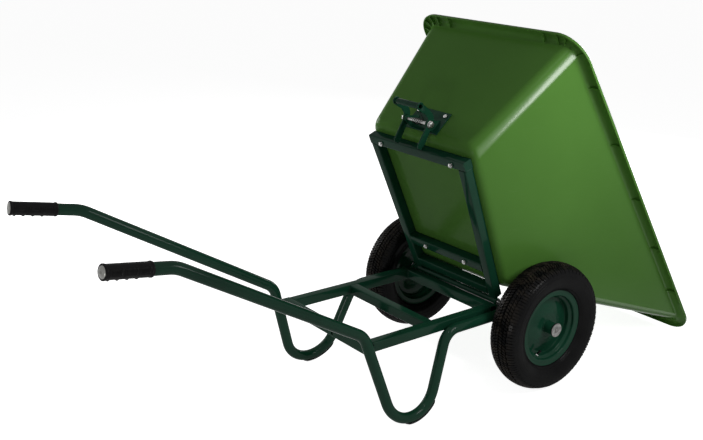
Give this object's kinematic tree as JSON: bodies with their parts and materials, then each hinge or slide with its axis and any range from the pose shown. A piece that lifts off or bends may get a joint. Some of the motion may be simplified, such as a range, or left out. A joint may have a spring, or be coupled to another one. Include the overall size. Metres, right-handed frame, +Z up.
{
  "type": "wheelbarrow",
  "caption": "Two-wheeled barrow with a deep moulded tray that tips forward on a steel tube frame and locks level with a sprung latch.",
  "frame": {"origin": "on the floor, under the middle of the barrow's length and width, with the tray tipped forward", "axes": "+Y forward, from the grips to the tray's lip; +X to the barrow's right; +Z up"},
  "size_m": [0.7032, 2.1311, 1.0813],
  "materials": {
    "tray_plastic": "semi-gloss moulded polyethylene",
    "frame_paint": "gloss powder coat",
    "tyre_rubber": "matt",
    "grip_rubber": "matt",
    "zinc_steel": "bright zinc plate",
    "bush_plastic": "natural nylon"
  },
  "bodies": {
    "chassis": {"side_tube_left": "frame_paint", "side_tube_right": "frame_paint", "foot_strip_left": "grip_rubber", "foot_strip_right": "grip_rubber", "grip_left": "grip_rubber", "grip_right": "grip_rubber", "rail_left": "frame_paint", "rail_right": "frame_paint", "crossbar_rear": "frame_paint", "crossbar_middle": "frame_paint", "crossbar_front": "frame_paint", "hinge_lug_left": "frame_paint", "hinge_lug_right": "frame_paint", "hinge_rod": "zinc_steel", "hinge_nut_left": "zinc_steel", "hinge_nut_right": "zinc_steel", "axle": "zinc_steel", "axle_bracket_left": "frame_paint", "axle_bracket_right": "frame_paint", "axle_cap_left": "zinc_steel", "axle_cap_right": "zinc_steel"},
    "wheel_left": {"tyre_left": "tyre_rubber", "inner_tube_left": "grip_rubber", "rim_left": "frame_paint", "hub_left": "frame_paint", "bush_inner_left": "bush_plastic", "bush_outer_left": "bush_plastic"},
    "wheel_right": {"tyre_right": "tyre_rubber", "inner_tube_right": "grip_rubber", "rim_right": "frame_paint", "hub_right": "frame_paint", "bush_inner_right": "bush_plastic", "bush_outer_right": "bush_plastic"},
    "tray": {"tray": "tray_plastic", "tray_rear_tube": "frame_paint", "tray_side_member_left": "frame_paint", "tray_side_member_right": "frame_paint", "tray_front_member": "frame_paint", "tray_cross_member": "frame_paint", "hinge_barrel": "frame_paint", "tray_bolt_rear_left": "zinc_steel", "tray_bolt_rear_right": "zinc_steel", "tray_bolt_front_left": "zinc_steel", "tray_bolt_front_right": "zinc_steel", "latch_bracket": "frame_paint", "latch_bolt_upper_left": "zinc_steel", "latch_bolt_upper_right": "zinc_steel", "latch_bolt_lower_left": "zinc_steel", "latch_bolt_lower_right": "zinc_steel", "latch_pivot_bolt": "zinc_steel", "latch_pivot_nut": "zinc_steel", "latch_spring": "zinc_steel"},
    "latch": {"latch_cheek_left": "frame_paint", "latch_cheek_right": "frame_paint", "latch_handle_bar": "frame_paint"}
  },
  "joints": [
    {"name": "tray_tip", "type": "hinge", "parent": "chassis", "child": "tray", "pos_m": [0, 0.24069, 0.2634], "axis": [1, 0, 0], "range_deg": [0, 67.3]},
    {"name": "wheel_left_spin", "type": "hinge", "parent": "chassis", "child": "wheel_left", "pos_m": [-0.299, 0.33969, 0.2], "axis": [1, 0, 0], "continuous": true},
    {"name": "wheel_right_spin", "type": "hinge", "parent": "chassis", "child": "wheel_right", "pos_m": [0.299, 0.33969, 0.2], "axis": [1, 0, 0], "continuous": true},
    {"name": "latch_lever", "type": "hinge", "parent": "tray", "child": "latch", "pos_m": [0, 0.05642, 0.81014], "axis": [-1, 0, 0], "range_deg": [0, 30], "stiffness_Nm_per_rad": 0.9, "springref_deg": -28.65, "deforming": ["latch_spring"]}
  ]
}
